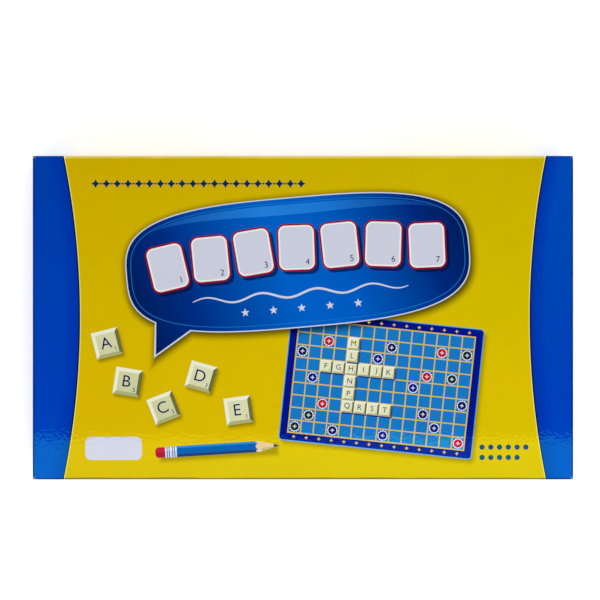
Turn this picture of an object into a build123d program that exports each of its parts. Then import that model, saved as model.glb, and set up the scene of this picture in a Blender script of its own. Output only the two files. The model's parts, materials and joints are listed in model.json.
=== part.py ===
"""A boxed word game for two to four players, closed as it is stored.

The box is two telescoping set-up trays of greyboard, each wrapped in printed paper that turns in over the
rim, with paper stays round the corners. One folded card insert makes a trough for the four scoring racks,
a trough for the hundred letter tiles and a raised rest that holds the folded playing board square.
Each rack is a moulded channel with a groove for the tiles and three slots, and a pointer slides in each slot
past ten marks, for the hundreds, tens and units of a player's score.

The frame has +X along the box, +Y towards its back and +Z up, with its origin on the table under the middle
of the lid.
"""

from build123d import *
import math
import os

# Box: two trays of greyboard, each wrapped in paper, sized round what the base holds
greyboard = 1.5
wrap_paper = 0.25
glue_line = 0.1
stay_paper = 0.08
stay_leg = 15.0
stay_end_margin = 3.0
lid_turn_in = 15.0
base_turn_in = 12.0
corner_radius = 1.4
telescope_clearance = 0.6
lid_table_gap = 2.0
lid_seat_gap = 0.1
board_headroom = 4.9

# Playing board: square cells inside a margin, folded once across the middle row
board_cells = 15
cell_size = 22.0
board_side_margin = 35.0
board_end_margin = 33.0
core_thickness = 1.8
back_paper = 0.2
play_paper = 0.2
back_paper_border = 3.0
board_corner_radius = 2.0
fold_clearance = 0.15
board_tray_clearance = 1.2
board_end_clearance = 5.2

# Letter tiles: bevelled squares, laid flat in two layers
tile_size = 19.6
tile_thickness = 4.4
tile_bevel_run = 2.2
tile_bevel_drop = 1.4
tile_gap = 0.4
tile_columns = 20
tile_rows_below = 3
tile_rows_above = 2

# Scoring racks: one wall folded into lip, groove, tile face, deck and back
rack_wall = 1.8
rack_bend_radius = 1.6
rack_lip_height = 7.0
rack_groove = 6.2
rack_face_length = 19.0
rack_face_angle = 72.0
rack_deck_length = 18.5
rack_deck_angle = 36.0
rack_back_draft = 1.0
rack_rib = 1.5
rack_rib_foot_gap = 0.6

# Score slots, and the pointers that slide past ten marks in them
slots_per_rack = 3
marks_per_slot = 10
mark_pitch = 5.7
slot_height = 4.4
slot_rise = 0.6
slot_end_clearance = 0.3
slot_side_clearance = 0.2
pointer_neck = 3.0
pointer_width = 10.0
pointer_apex_rise = 3.8
pointer_base_drop = 5.6
pointer_plate = 1.2
pointer_deck_clearance = 0.15
pointer_grip_width = 5.6
pointer_grip_depth = 1.0
pointer_grip_height = 0.7
pointer_grip_margin = 1.2
keeper_width = 8.0
keeper_height = 7.4
keeper_rib_clearance = 1.2
stored_scores = ((6, 4, 6), (4, 3, 5), (1, 7, 2), (0, 5, 8))
place_names = ("hundreds", "tens", "units")

# Insert: one folded card; loose pieces rest this far clear of what carries them
rest_gap = 0.1
insert_card = 1.0
insert_fold_radius = 1.0
insert_wall_clearance = 0.4
insert_front_shoulder = 24.0
insert_ridge = 14.0
insert_rear_shoulder = 20.0
insert_fence = 41.1
rack_side_gap = 1.2
rack_end_gap = 5.8
rack_headroom = 1.0
tile_trough_slack = 1.0
finger_notch_width = 30.0
finger_notch_depth = 20.0
finger_notch_radius = 8.0
finger_well_width = 26.0
finger_well_depth = 12.0
finger_well_drop = 16.0
finger_well_radius = 6.0

# Rules leaflet: one sheet folded once
leaflet_length = 210.0
leaflet_width = 148.0
leaflet_sheet = 0.15
leaflet_ply_gap = 0.1
leaflet_fold_margin = 0.6

# Sizes that follow for single pieces
wrap_skin = wrap_paper + glue_line
tray_wall = wrap_skin + greyboard + wrap_paper
board_length = board_cells * cell_size + 2 * board_side_margin
board_half = (board_cells * cell_size + 2 * board_end_margin) / 2
half_thickness = back_paper + core_thickness + play_paper
leaflet_thickness = 2 * leaflet_sheet + leaflet_ply_gap
tile_pitch = tile_size + tile_gap
slot_length = (marks_per_slot - 1) * mark_pitch + pointer_neck + 2 * slot_end_clearance
slot_pitch = slot_length + (keeper_width - pointer_neck) + 2 * (rack_rib + keeper_rib_clearance)
rack_length = slots_per_rack * slot_pitch


def tray_shell(length, width, height, wall, floor, radius):
    """An open tray on z = 0, rounded round the outside of its upright corners and its floor."""
    body = extrude(RectangleRounded(length, width, radius), height)
    body = fillet(body.edges().group_by(Axis.Z)[0], radius)
    hollow = extrude(Rectangle(length - 2 * wall, width - 2 * wall), height)
    return body - Pos(0, 0, floor) * hollow


def tray_board(length, width, height, floor_skin):
    """The greyboard tray that a wrapped tray of these outside sizes holds, floor at the bottom."""
    board = tray_shell(
        length - 2 * wrap_skin,
        width - 2 * wrap_skin,
        height - floor_skin - wrap_paper,
        greyboard,
        greyboard,
        corner_radius - wrap_skin,
    )
    return Pos(0, 0, floor_skin) * board


def tray_wrap(length, width, height, floor_skin, turn_in):
    """The printed paper round a tray: over the outside, over the rim, and turned in down the inner wall."""
    paper = tray_shell(length, width, height, tray_wall, floor_skin + greyboard, corner_radius)
    floor_paper = max(floor_skin - glue_line, 0)
    inner_radius = corner_radius - wrap_paper
    board_space = Pos(0, 0, floor_paper) * extrude(
        RectangleRounded(length - 2 * wrap_paper, width - 2 * wrap_paper, inner_radius),
        height - wrap_paper - floor_paper,
    )
    if floor_paper:
        board_space = fillet(board_space.edges().group_by(Axis.Z)[0], inner_radius)
    board_inset = wrap_skin + greyboard
    inside = Pos(0, 0, height - turn_in) * extrude(
        Rectangle(length - 2 * board_inset, width - 2 * board_inset), turn_in
    )
    return paper - (board_space - inside)


def tray_stays(length, width, height):
    """The four strips of paper that hold a tray's corners, folded round the greyboard under the wrap."""
    strip_height = height - 2 * stay_end_margin
    inner_radius = corner_radius - wrap_skin
    board_outline = RectangleRounded(length - 2 * wrap_skin, width - 2 * wrap_skin, inner_radius)
    stay_inset = wrap_skin - stay_paper
    stay_radius = inner_radius + stay_paper
    stay_outline = RectangleRounded(length - 2 * stay_inset, width - 2 * stay_inset, stay_radius)
    ring = stay_outline - board_outline
    corners = [
        Pos(sx * (length - stay_leg) / 2, sy * (width - stay_leg) / 2) * Rectangle(stay_leg, stay_leg)
        for sx in (-1, 1)
        for sy in (-1, 1)
    ]
    return [Pos(0, 0, stay_end_margin) * extrude(ring & corner, strip_height) for corner in corners]


def as_lid(piece):
    """A tray piece turned over, so that its floor is the top of the box."""
    return Pos(0, 0, box_height) * Rot(180, 0, 0) * piece


def rack_path_points():
    """The middle of the rack's wall in (y, z), from the top of the lip round to the foot of the back."""
    half = rack_wall / 2
    face = math.radians(rack_face_angle)
    deck = math.radians(rack_deck_angle)
    lip_top = (half, rack_lip_height)
    lip_foot = (half, half)
    face_foot = (half + rack_groove + rack_wall, half)
    face_top = (
        face_foot[0] + rack_face_length * math.cos(face),
        face_foot[1] + rack_face_length * math.sin(face),
    )
    deck_top = (
        face_top[0] + rack_deck_length * math.cos(deck),
        face_top[1] + rack_deck_length * math.sin(deck),
    )
    back_foot = (deck_top[0] + rack_back_draft, 0.0)
    return [lip_top, lip_foot, face_foot, face_top, deck_top, back_foot]


def folded_strip(points, bend_radius, thickness, floor):
    """The cross-section of a wall that follows these points, cut flat at the floor, in the YZ plane."""
    path = FilletPolyline(*points, radius=bend_radius)
    outline = offset(path, amount=thickness / 2, side=Side.BOTH, closed=True)
    wall = make_face(outline.edges())
    extent = wall.bounding_box()
    below_floor = Pos(extent.center().X, floor - thickness) * Rectangle(2 * extent.size.X, 2 * thickness)
    return Plane.YZ * (wall - below_floor)


def deck_plane():
    """The top of the rack's deck: local X along the rack, local Y up the slope, Z out of the deck."""
    _, _, _, face_top, deck_top, _ = rack_path_points()
    slope = math.radians(rack_deck_angle)
    normal = (0, -math.sin(slope), math.cos(slope))
    half = rack_wall / 2
    middle = (
        0,
        (face_top[0] + deck_top[0]) / 2 + half * normal[1],
        (face_top[1] + deck_top[1]) / 2 + half * normal[2],
    )
    return Plane(origin=middle, x_dir=(1, 0, 0), z_dir=normal)


def slot_centre(place):
    """Where a slot's middle lies along the rack; place 0 is the hundreds."""
    return (place - (slots_per_rack - 1) / 2) * slot_pitch


def make_rack():
    """One rack, standing on z = 0 with the front of its lip at y = 0 and its middle at x = 0."""
    points = rack_path_points()
    _, _, face_foot, face_top, deck_top, back_foot = points
    profile = folded_strip(points, rack_bend_radius, rack_wall, floor=0.0)
    rack = extrude(profile, rack_length / 2, both=True)
    web_front = (face_foot[0], rack_rib_foot_gap)
    web_back = (back_foot[0], rack_rib_foot_gap)
    arch = FilletPolyline(face_foot, face_top, deck_top, web_back, radius=rack_bend_radius)
    web = make_face(arch + Polyline(web_back, web_front, face_foot))
    rib_span = rack_length - rack_rib
    for step in range(slots_per_rack + 1):
        x = -rib_span / 2 + step * rib_span / slots_per_rack
        rack += Pos(x, 0, 0) * extrude(Plane.YZ * web, rack_rib / 2, both=True)
    slot = extrude(Rectangle(slot_length, slot_height), 2 * rack_wall, both=True)
    for place in range(slots_per_rack):
        rack -= deck_plane() * Pos(slot_centre(place), slot_rise, 0) * slot
    return rack


def make_pointer():
    """A pointer at x = 0 on a rack's deck: arrow above, neck through the slot, keeper plate below."""
    arrow = make_face(
        Polyline(
            (-pointer_width / 2, -pointer_base_drop),
            (pointer_width / 2, -pointer_base_drop),
            (0, pointer_apex_rise),
            close=True,
        )
    )
    plate = Pos(0, 0, pointer_deck_clearance) * extrude(arrow, pointer_plate)
    grip_y = -pointer_base_drop + pointer_grip_margin
    grip = Pos(0, grip_y, pointer_deck_clearance + pointer_plate) * extrude(
        Rectangle(pointer_grip_width, pointer_grip_depth), pointer_grip_height
    )
    neck_top = pointer_deck_clearance
    neck_foot = -rack_wall - pointer_deck_clearance
    neck = Pos(0, slot_rise, neck_foot) * extrude(
        Rectangle(pointer_neck, slot_height - 2 * slot_side_clearance), neck_top - neck_foot
    )
    keeper = Pos(0, slot_rise, neck_foot - pointer_plate) * extrude(
        Rectangle(keeper_width, keeper_height), pointer_plate
    )
    return deck_plane() * (plate + grip + neck + keeper)


def make_tile():
    """One letter tile, lying on z = 0, with its upper edges bevelled all round."""
    slab = extrude(Rectangle(tile_size, tile_size), tile_thickness)
    return chamfer(slab.edges().group_by(Axis.Z)[-1], tile_bevel_drop, tile_bevel_run)


def tile_layer(rows, floor, trough_middle):
    """A layer of loose tiles in whole rows, centred in the tile trough."""
    tile = make_tile()
    return [
        Pos(
            (column - (tile_columns - 1) / 2) * tile_pitch,
            trough_middle + (row - (rows - 1) / 2) * tile_pitch,
            floor,
        )
        * tile
        for row in range(rows)
        for column in range(tile_columns)
    ]


def half_outline(length, depth, radius):
    """A board half's outline: square along the fold at y = 0, rounded at its two far corners."""
    outline = Pos(0, depth / 2) * Rectangle(length, depth)
    return fillet(outline.vertices().group_by(Axis.Y)[-1], radius)


def board_half_pieces():
    """Core, back paper and play sheet of one half: fold edge at y = 0, playing surface up at z = 0."""
    depth = board_half - fold_clearance
    outline = half_outline(board_length, depth, board_corner_radius)
    core_outline = half_outline(
        board_length - 2 * back_paper, depth - 2 * back_paper, board_corner_radius - back_paper
    )
    play_outline = half_outline(
        board_length - 2 * back_paper_border, depth - back_paper_border, board_corner_radius
    )
    block = Pos(0, fold_clearance, -half_thickness) * extrude(outline, half_thickness)
    core = Pos(0, fold_clearance + back_paper, -half_thickness + back_paper) * extrude(
        core_outline, core_thickness
    )
    play_sheet = Pos(0, fold_clearance, -play_paper) * extrude(play_outline, play_paper)
    return core, block - core - play_sheet, play_sheet


def make_leaflet():
    """The rules leaflet: two plies joined along a fold at its front edge, lying on z = 0."""
    ply = Rectangle(leaflet_length, leaflet_width)
    lower = extrude(ply, leaflet_sheet)
    upper = Pos(0, 0, leaflet_sheet + leaflet_ply_gap) * lower
    fold = Pos(0, (leaflet_fold_margin - leaflet_width) / 2, 0) * extrude(
        Rectangle(leaflet_length, leaflet_fold_margin), leaflet_thickness
    )
    return lower + upper + fold


rack_box = make_rack().bounding_box()
rack_depth = rack_box.max.Y
rack_height = rack_box.max.Z

# Heights, from the base's underside up to the lid's
base_floor = greyboard
store_floor = base_floor + insert_card
tile_stack = tile_thickness + rest_gap + tile_thickness
rest_height = store_floor + rest_gap + max(rack_height, tile_stack) + rack_headroom
leaflet_floor = rest_height + rest_gap
board_bottom = leaflet_floor + leaflet_thickness + rest_gap
fold_height = board_bottom + half_thickness + fold_clearance
fence_height = fold_height + fold_clearance + half_thickness
lid_ceiling = fence_height + board_headroom
base_height = lid_ceiling - lid_seat_gap
box_height = lid_ceiling + greyboard + wrap_skin

# Depths inside the base, measured back from its front wall
rack_trough_start = insert_wall_clearance + insert_front_shoulder
rack_trough_end = rack_trough_start + 2 * rack_depth + 3 * rack_side_gap
tile_trough_start = rack_trough_end + insert_ridge
tile_trough_end = tile_trough_start + tile_rows_below * tile_pitch + tile_trough_slack
board_end = board_tray_clearance + board_half
fence_start = max(board_end + board_tray_clearance, tile_trough_end + insert_rear_shoulder)
base_inner_width = fence_start + insert_fence + insert_wall_clearance
base_width = base_inner_width + 2 * tray_wall
box_width = base_width + 2 * (telescope_clearance + tray_wall)

# Lengths: the base holds the longest of the board, a row of racks and a row of tiles
racks_span = 2 * rack_length + 3 * rack_end_gap + 2 * insert_wall_clearance
tiles_span = tile_columns * tile_pitch + tile_gap + 2 * insert_wall_clearance
base_inner_length = max(board_length + 2 * board_end_clearance, racks_span, tiles_span)
base_length = base_inner_length + 2 * tray_wall
box_length = base_length + 2 * (telescope_clearance + tray_wall)

# The same depths in the box's own frame
front_wall = -base_inner_width / 2
insert_length = base_inner_length - 2 * insert_wall_clearance
insert_front = front_wall + insert_wall_clearance
insert_back = -insert_front
rack_trough_front = front_wall + rack_trough_start
rack_trough_back = front_wall + rack_trough_end
tile_trough_front = front_wall + tile_trough_start
tile_trough_back = front_wall + tile_trough_end
tile_trough_middle = (tile_trough_front + tile_trough_back) / 2
fold_y = front_wall + board_tray_clearance
board_back = front_wall + board_end
fence_front = front_wall + fence_start
rack_shift = (rack_length + rack_end_gap) / 2


def edge_notch(width, depth, corner, bottom, top):
    """A cutter for a notch that opens towards -Y at y = 0 and has its two far corners rounded."""
    outline = Pos(0, depth / 2) * Rectangle(width, depth)
    outline = fillet(outline.vertices().group_by(Axis.Y)[-1], corner)
    return Pos(0, 0, bottom) * extrude(outline, top - bottom)


def make_insert():
    """The folded card insert, one strip from the front wall of the base to its back wall."""
    half = insert_card / 2
    low = base_floor + half
    high = rest_height - half
    top = fence_height - half
    points = [
        (insert_front + half, base_floor),
        (insert_front + half, high),
        (rack_trough_front - half, high),
        (rack_trough_front - half, low),
        (rack_trough_back + half, low),
        (rack_trough_back + half, high),
        (tile_trough_front - half, high),
        (tile_trough_front - half, low),
        (tile_trough_back + half, low),
        (tile_trough_back + half, high),
        (fence_front + half, high),
        (fence_front + half, top),
        (insert_back - half, top),
        (insert_back - half, base_floor),
    ]
    profile = folded_strip(points, insert_fold_radius, insert_card, base_floor)
    card = extrude(profile, insert_length / 2, both=True)
    board_notch = edge_notch(
        finger_notch_width,
        fence_front - board_back + finger_notch_depth,
        finger_notch_radius,
        rest_height + insert_fold_radius,
        fence_height + insert_card,
    )
    card -= Pos(0, board_back, 0) * board_notch
    rack_well = edge_notch(
        finger_well_width,
        rack_side_gap + finger_well_depth,
        finger_well_radius,
        rest_height - finger_well_drop,
        rest_height + insert_card,
    )
    for side in (-1, 1):
        card -= Pos(side * rack_shift, rack_trough_front + rack_side_gap, 0) * Rot(0, 0, 180) * rack_well
    return card


def board_places():
    """Where each half's own frame goes: the lower half lies face up and the upper half face down on it."""
    lower = Pos(0, fold_y, fold_height - fold_clearance)
    upper = Pos(0, fold_y, fold_height + fold_clearance) * Rot(0, 180, 0)
    return {"lower": lower, "upper": upper}


def rack_places():
    """The four racks in their trough: two rows, and two end to end in each row."""
    floor = store_floor + rest_gap
    return [
        Pos(
            column * rack_shift,
            rack_trough_front + rack_side_gap + row * (rack_depth + rack_side_gap),
            floor,
        )
        for row in (0, 1)
        for column in (-1, 1)
    ]


def box_nodes():
    """Lid and base, each a greyboard tray, its printed wrap and its corner stays."""
    lid_depth = box_height - lid_table_gap
    return {
        "lid_board": as_lid(tray_board(box_length, box_width, lid_depth, wrap_skin)),
        "lid_wrap": as_lid(tray_wrap(box_length, box_width, lid_depth, wrap_skin, lid_turn_in)),
        "lid_corner_stays": [as_lid(stay) for stay in tray_stays(box_length, box_width, lid_depth)],
        "base_board": tray_board(base_length, base_width, base_height, 0.0),
        "base_wrap": tray_wrap(base_length, base_width, base_height, 0.0, base_turn_in),
        "base_corner_stays": tray_stays(base_length, base_width, base_height),
        "insert_card": make_insert(),
    }


def board_nodes():
    """The playing board's six pieces, folded flat."""
    nodes = {}
    for name, place in board_places().items():
        core, paper, sheet = board_half_pieces()
        nodes[f"board_core_{name}"] = place * core
        nodes[f"back_paper_{name}"] = place * paper
        nodes[f"play_sheet_{name}"] = place * sheet
    return nodes


def rack_nodes():
    """Four racks, each with a pointer in each of its slots."""
    nodes = {}
    rack = make_rack()
    pointer = make_pointer()
    for number, (place, score) in enumerate(zip(rack_places(), stored_scores), start=1):
        nodes[f"rack_{number}"] = place * rack
        for position, (name, mark) in enumerate(zip(place_names, score)):
            x = slot_centre(position) + (mark - (marks_per_slot - 1) / 2) * mark_pitch
            nodes[f"rack_{number}_{name}_pointer"] = place * Pos(x, 0, 0) * pointer
    return nodes


def loose_nodes():
    """The letter tiles in two layers, and the rules leaflet on top of the insert."""
    tile_floor = store_floor + rest_gap
    upper_floor = tile_floor + tile_thickness + rest_gap
    leaflet_y = fold_y + board_half / 2
    return {
        "tiles_lower_layer": tile_layer(tile_rows_below, tile_floor, tile_trough_middle),
        "tiles_upper_layer": tile_layer(tile_rows_above, upper_floor, tile_trough_middle),
        "rules_leaflet": Pos(0, leaflet_y, leaflet_floor) * make_leaflet(),
    }


def write(name, shape):
    """Writes one node, a solid or a list of solids, to its own file."""
    solids = shape if isinstance(shape, list) else [shape]
    whole = Compound(children=[solid for piece in solids for solid in piece.solids()])
    export_step(whole, f"parts/{name}.step")


os.makedirs("parts", exist_ok=True)
for node, shape in {**box_nodes(), **board_nodes(), **rack_nodes(), **loose_nodes()}.items():
    write(node, shape)

print(f"box {box_length:.2f} x {box_width:.2f} x {box_height:.2f}")
print(f"rack {rack_length:.2f} x {rack_depth:.2f} x {rack_height:.2f}, rest at z = {rest_height:.2f}")
print(f"board {board_length:.1f} x {2 * board_half:.1f}, folded at y = {fold_y:.2f}, z = {fold_height:.2f}")
print(f"board from z = {board_bottom:.2f} to {fence_height:.2f}, lid ceiling at z = {lid_ceiling:.2f}")
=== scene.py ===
"""The looks of a boxed word game: laminated box, card insert, folding board, scoring racks and letter tiles.

All printed art is generic: plain bands, a panel of blank pads, a squared field, single letters and numbers.
Sizes are in millimetres where a name or comment says so, and MM turns them into metres.
"""

import json
import math
import random
from types import SimpleNamespace

import bpy
from mathutils import Matrix, Vector, geometry


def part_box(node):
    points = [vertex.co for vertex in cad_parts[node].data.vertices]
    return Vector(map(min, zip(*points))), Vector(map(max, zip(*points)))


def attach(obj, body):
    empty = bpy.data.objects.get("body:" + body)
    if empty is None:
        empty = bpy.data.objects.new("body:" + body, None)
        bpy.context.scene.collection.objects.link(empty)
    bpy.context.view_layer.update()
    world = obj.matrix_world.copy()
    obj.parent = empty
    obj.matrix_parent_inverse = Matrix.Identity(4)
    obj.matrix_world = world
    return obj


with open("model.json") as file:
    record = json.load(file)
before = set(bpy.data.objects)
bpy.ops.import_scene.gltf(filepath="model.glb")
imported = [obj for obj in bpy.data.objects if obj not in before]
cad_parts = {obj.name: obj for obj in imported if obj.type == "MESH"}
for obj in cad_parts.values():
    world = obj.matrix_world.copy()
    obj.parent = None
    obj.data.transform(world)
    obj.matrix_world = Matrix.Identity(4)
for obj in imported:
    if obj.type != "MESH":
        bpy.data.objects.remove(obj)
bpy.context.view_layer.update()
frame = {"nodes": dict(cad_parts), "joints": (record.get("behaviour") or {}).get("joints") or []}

MM = 0.001
lid_low, lid_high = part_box("lid_wrap")
lid_half_length = (lid_high.x - lid_low.x) / 2 / MM
lid_half_width = (lid_high.y - lid_low.y) / 2 / MM
lid_wall_height = (lid_high.z - lid_low.z) / MM

# The lid's corners in the photograph, in pixels of its 600 by 600 frame
photo_size = 600
lid_px_left, lid_px_right = 32.4, 573.5
lid_px_top, lid_px_bottom = 155.7, 479.6

camera_lens = 85.0
camera_sensor = 36.0

film_thickness = 0.02
film_lift = 0.01


# Stage


def add_object(name, data):
    """A new object in the scene."""
    made = bpy.data.objects.new(name, data)
    bpy.context.scene.collection.objects.link(made)
    return made


def make_camera():
    """Looks straight down at the lid, framed as the photograph frames it."""
    scale = (lid_high.x - lid_low.x) / (lid_px_right - lid_px_left)
    half_frame = photo_size / 2
    distance = half_frame * scale / (camera_sensor / 2 / camera_lens)
    data = bpy.data.cameras.new("photo_camera")
    data.lens = camera_lens
    data.sensor_width = camera_sensor
    data.clip_start = 0.01
    data.clip_end = 50.0
    camera = add_object("photo_camera", data)
    across = (lid_px_left + lid_px_right) / 2 - half_frame
    down = (lid_px_top + lid_px_bottom) / 2 - half_frame
    camera.location = (-across * scale, down * scale, lid_high.z + distance)
    bpy.context.scene.camera = camera


def make_lamp(name, place, size, watts, aim=(0.0, 0.0, 0.0), in_gloss=True):
    """One soft square lamp that faces the box. Its own face may be kept out of the gloss."""
    data = bpy.data.lights.new(name, "AREA")
    data.shape = "SQUARE"
    data.size = size
    data.energy = watts
    lamp = add_object(name, data)
    lamp.location = place
    lamp.rotation_mode = "QUATERNION"
    lamp.rotation_quaternion = (Vector(aim) - Vector(place)).to_track_quat("-Z", "Y")
    lamp.visible_glossy = in_gloss


def plain_plane(name, low, high, height, material):
    """A flat rectangle at one height, facing up."""
    mesh = bpy.data.meshes.new(name)
    corners = [(low[0], low[1], height), (high[0], low[1], height),
               (high[0], high[1], height), (low[0], high[1], height)]
    mesh.from_pydata(corners, [], [(0, 1, 2, 3)])
    mesh.materials.append(material)
    plane = add_object(name, mesh)
    return plane


# Shader graphs


def label(word):
    """The socket that a keyword stands for: half_length is Half Length, and capitals stay."""
    return word if word.isupper() else word.replace("_", " ").title()


class Signal:
    """A node's output. Arithmetic on it adds nodes to its graph."""

    def __init__(self, graph, socket):
        self.graph = graph
        self.socket = socket

    def __add__(self, other):
        return self.graph.math("ADD", self, other)

    def __sub__(self, other):
        return self.graph.math("SUBTRACT", self, other)

    def __rsub__(self, other):
        return self.graph.math("SUBTRACT", other, self)

    def __mul__(self, other):
        return self.graph.math("MULTIPLY", self, other)

    def __truediv__(self, other):
        return self.graph.math("DIVIDE", self, other)

    def __rtruediv__(self, other):
        return self.graph.math("DIVIDE", other, self)

    def __pow__(self, other):
        return self.graph.math("POWER", self, other)

    def __abs__(self):
        return self.graph.math("ABSOLUTE", self)

    __radd__ = __add__
    __rmul__ = __mul__


class Graph:
    """Places nodes in one tree. An input takes a plain value or a signal."""

    def __init__(self, tree):
        self.tree = tree

    def feed(self, socket, value):
        """Sets or links one input. A colour may leave out its alpha."""
        if isinstance(value, Signal):
            self.tree.links.new(value.socket, socket)
        elif socket.type == "RGBA" and len(value) == 3:
            socket.default_value = (*value, 1.0)
        else:
            socket.default_value = value

    def node(self, kind, output=None, settings=None, **inputs):
        """One node, with its inputs named by keyword. Gives the wanted output, or else the node."""
        made = self.tree.nodes.new(kind)
        for name, value in (settings or {}).items():
            setattr(made, name, value)
        for word, value in inputs.items():
            self.feed(made.inputs[label(word)], value)
        return made if output is None else Signal(self, made.outputs[output])

    def step(self, kind, settings, output, inputs):
        """One node whose inputs are given by their numbers."""
        made = self.node(kind, None, settings)
        for index, value in inputs:
            self.feed(made.inputs[index], value)
        return Signal(self, made.outputs[output])

    def math(self, operation, *values):
        """One arithmetic step."""
        return self.step("ShaderNodeMath", {"operation": operation}, 0, enumerate(values))

    def least(self, first, second):
        """The smaller of two values."""
        return self.math("MINIMUM", first, second)

    def most(self, first, second):
        """The larger of two values."""
        return self.math("MAXIMUM", first, second)

    def vector(self, operation, *values, output="Vector"):
        """One step of vector arithmetic."""
        return self.step("ShaderNodeVectorMath", {"operation": operation}, output, enumerate(values))

    def scale(self, color, factor):
        """A colour or vector times a number."""
        return self.node("ShaderNodeVectorMath", "Vector", {"operation": "SCALE"}, vector=color, scale=factor)

    def mix(self, factor, first, second, blend="MIX"):
        """Mixes two colours."""
        return self.step("ShaderNodeMix", {"data_type": "RGBA", "blend_type": blend}, 2,
                         ((0, factor), (6, first), (7, second)))

    def ramp(self, value, stops):
        """A colour ramp through (position, colour) stops."""
        made = self.node("ShaderNodeValToRGB", fac=value)
        elements = made.color_ramp.elements
        while len(elements) < len(stops):
            elements.new(0.5)
        for element, (position, color) in zip(elements, stops):
            element.position = position
            element.color = (*color, 1.0)
        return Signal(self, made.outputs["Color"])

    def remap(self, value, from_low, from_high, to_low=0.0, to_high=1.0, slope="LINEAR"):
        """A clamped change of range."""
        return self.node("ShaderNodeMapRange", "Result", {"interpolation_type": slope}, value=value,
                         from_min=from_low, from_max=from_high, to_min=to_low, to_max=to_high)

    def fall(self, value, start, stop):
        """One up to start and nothing from stop on."""
        return self.remap(value, start, stop, 1.0, 0.0)

    def noise(self, vector, scale, detail=2.0, roughness=0.5):
        """Soft noise from 0 to 1."""
        return self.node("ShaderNodeTexNoise", "Fac", vector=vector, scale=scale, detail=detail,
                         roughness=roughness)

    def stretch(self, vector, *scales):
        """Coordinates scaled along each axis."""
        return self.node("ShaderNodeMapping", "Vector", vector=vector, scale=scales)

    def parts(self, vector):
        """A vector's three parts."""
        made = self.node("ShaderNodeSeparateXYZ", vector=vector)
        return [Signal(self, made.outputs[axis]) for axis in "XYZ"]

    def place(self):
        """Object coordinates."""
        return self.node("ShaderNodeTexCoord", "Object")

    def group(self, tree, **inputs):
        """Places a shader group, and gives its outputs by their names in small letters."""
        made = self.node("ShaderNodeGroup", None, {"node_tree": tree}, **inputs)
        return SimpleNamespace(**{socket.name.lower(): Signal(self, socket) for socket in made.outputs})


def shader_group(name, effect, **inputs):
    """A shader group. The effect takes a graph and the named inputs, and returns the named outputs."""
    tree = bpy.data.node_groups.new(name, "ShaderNodeTree")
    graph = Graph(tree)
    for word, default in inputs.items():
        kind = "Float" if isinstance(default, float) else "Vector" if len(default) == 3 else "Color"
        socket = tree.interface.new_socket(label(word), in_out="INPUT", socket_type=f"NodeSocket{kind}")
        socket.default_value = default
    given = graph.node("NodeGroupInput").outputs
    results = effect(graph, **{word: Signal(graph, given[label(word)]) for word in inputs})
    for word in results:
        kind = "Color" if word == "color" else "Float"
        tree.interface.new_socket(label(word), in_out="OUTPUT", socket_type=f"NodeSocket{kind}")
    graph.node("NodeGroupOutput", **results)
    return tree


def laminate_effect(graph, wave, peel, roughness):
    """The film over the print: long faint waves from the board below, and fine orange peel."""
    vector = graph.place()
    waves = graph.noise(vector, 170.0, 1.0, 0.4) * 0.3 + graph.noise(vector, 50.0, 1.0, 0.4)
    haze = graph.noise(vector, 35.0, 3.0, 0.6)
    return {"height": waves * wave + graph.noise(vector, 430.0, 1.0, 0.4) * peel,
            "roughness": roughness + graph.remap(haze, 0.45, 0.8, 0.0, 0.02)}


def ink_grain_effect(graph, color, amount):
    """The uneven density of printed ink: a cloudy drift and a fine screen."""
    vector = graph.place()
    drift = graph.remap(graph.noise(vector, 45.0), 0.3, 0.7, -0.5, 0.5)
    screen = graph.remap(graph.noise(vector, 2600.0, 1.0), 0.3, 0.7, -0.5, 0.5)
    return {"color": graph.scale(color, 1.0 + (drift * 0.6 + screen * 0.7) * amount)}


def fibre_effect(graph, color, cloud, flecks):
    """Paper and board: cloudy pulp, short fibres and dark flecks."""
    vector = graph.place()
    stretched = graph.stretch(vector, 1.0, 0.35, 1.0)
    pulp = graph.remap(graph.noise(vector, 90.0, 4.0, 0.6), 0.25, 0.75, -1.0, 1.0)
    specks = graph.remap(graph.noise(stretched, 950.0, 1.0, 0.4), 0.68, 0.74)
    return {"color": graph.scale(color, (1.0 + pulp * cloud) * (1.0 - specks * flecks)),
            "height": graph.noise(stretched, 1800.0, 3.0, 0.65)}


def moulding_effect(graph, color, flow, roughness):
    """Moulded plastic: faint flow marks in the colour, a fine spark texture and uneven gloss."""
    vector = graph.place()
    marks = graph.noise(graph.stretch(vector, 0.2, 1.0, 1.0), 70.0, 3.0, 0.6)
    touch = graph.remap(graph.noise(vector, 60.0, 3.0, 0.6), 0.4, 0.75, 0.0, 0.09)
    return {"color": graph.scale(color, 1.0 + graph.remap(marks, 0.3, 0.7, -1.0, 1.0) * flow),
            "height": graph.noise(vector, 2200.0, 2.0, 0.6), "roughness": roughness + touch}


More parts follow.
